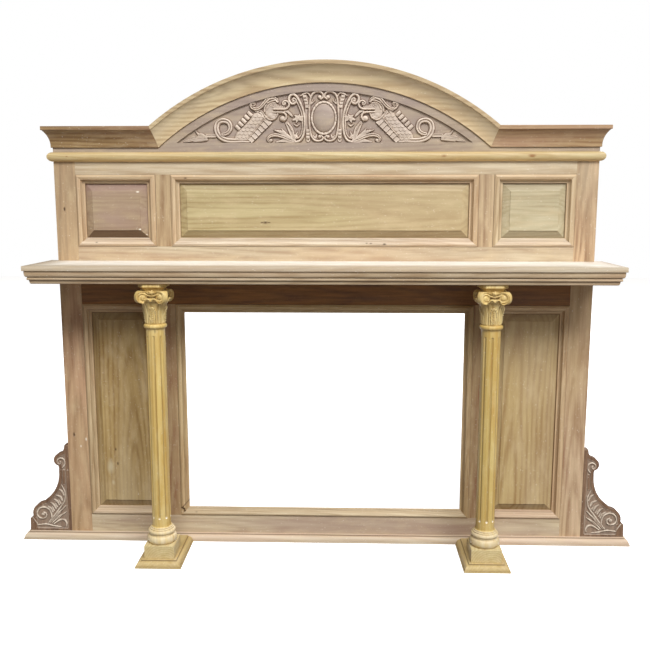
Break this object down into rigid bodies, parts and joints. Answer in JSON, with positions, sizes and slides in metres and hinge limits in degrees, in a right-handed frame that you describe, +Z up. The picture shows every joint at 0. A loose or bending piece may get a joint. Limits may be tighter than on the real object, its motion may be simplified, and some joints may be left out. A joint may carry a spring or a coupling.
{
  "type": "fireplace mantelpiece",
  "caption": "Carved and panelled wooden fireplace surround with free-standing columns, a deep moulded shelf and an arched, carved overmantel.",
  "frame": {"origin": "on the floor, at the middle of the whole piece's width and depth", "axes": "+X to the right seen from the front, +Y from the front to the wall, +Z up"},
  "size_m": [2.5848, 0.3244, 1.9835],
  "materials": {
    "frame_wood": "bare planed hardwood, pinkish tan, sanding dust in the quirks",
    "panel_wood": "bare olive-brown figured hardwood",
    "cornice_wood": "bare olive-tan hardwood with cathedral grain",
    "frieze_wood": "bare grey-mauve hardwood with pale dust on the carving",
    "nosing_wood": "bare creamy softwood with small knots",
    "shelf_wood": "bare pale hardwood",
    "base_wood": "bare pale pinkish hardwood",
    "column_wood": "bare turned and carved wood, warm yellow",
    "bracket_wood": "bare grey-brown hardwood with pale dust in the carving"
  },
  "bodies": {
    "root": {"base_board": "base_wood", "lower_left_outer_stile": "frame_wood", "lower_left_inner_stile": "frame_wood", "lower_left_panel": "panel_wood", "lower_left_moulding_top": "frame_wood", "lower_left_moulding_right": "frame_wood", "lower_left_moulding_bottom": "frame_wood", "lower_left_moulding_left": "frame_wood", "lower_right_outer_stile": "frame_wood", "lower_right_inner_stile": "frame_wood", "lower_right_panel": "panel_wood", "lower_right_moulding_top": "frame_wood", "lower_right_moulding_right": "frame_wood", "lower_right_moulding_bottom": "frame_wood", "lower_right_moulding_left": "frame_wood", "lower_bottom_rail": "frame_wood", "lower_top_rail": "frame_wood", "fire_opening_moulding_top": "frame_wood", "fire_opening_moulding_right": "frame_wood", "fire_opening_moulding_bottom": "frame_wood", "fire_opening_moulding_left": "frame_wood", "shelf_bed": "shelf_wood", "shelf_board": "shelf_wood", "upper_left_outer_stile": "frame_wood", "upper_left_mullion": "frame_wood", "upper_left_panel": "panel_wood", "upper_left_moulding_top": "frame_wood", "upper_left_moulding_right": "frame_wood", "upper_left_moulding_bottom": "frame_wood", "upper_left_moulding_left": "frame_wood", "upper_right_outer_stile": "frame_wood", "upper_right_mullion": "frame_wood", "upper_right_panel": "panel_wood", "upper_right_moulding_top": "frame_wood", "upper_right_moulding_right": "frame_wood", "upper_right_moulding_bottom": "frame_wood", "upper_right_moulding_left": "frame_wood", "upper_bottom_rail": "frame_wood", "upper_top_rail": "frame_wood", "upper_centre_panel": "panel_wood", "upper_centre_moulding_top": "frame_wood", "upper_centre_moulding_right": "frame_wood", "upper_centre_moulding_bottom": "frame_wood", "upper_centre_moulding_left": "frame_wood", "half_round_rail": "nosing_wood", "cornice_left_run": "cornice_wood", "cornice_right_run": "cornice_wood", "cornice_arch": "cornice_wood", "carved_frieze": "frieze_wood", "left_column_foot": "column_wood", "left_column_die": "column_wood", "left_column_shaft": "column_wood", "left_column_capital": "column_wood", "right_column_foot": "column_wood", "right_column_die": "column_wood", "right_column_shaft": "column_wood", "right_column_capital": "column_wood", "left_bracket": "bracket_wood", "right_bracket": "bracket_wood"}
  },
  "joints": []
}
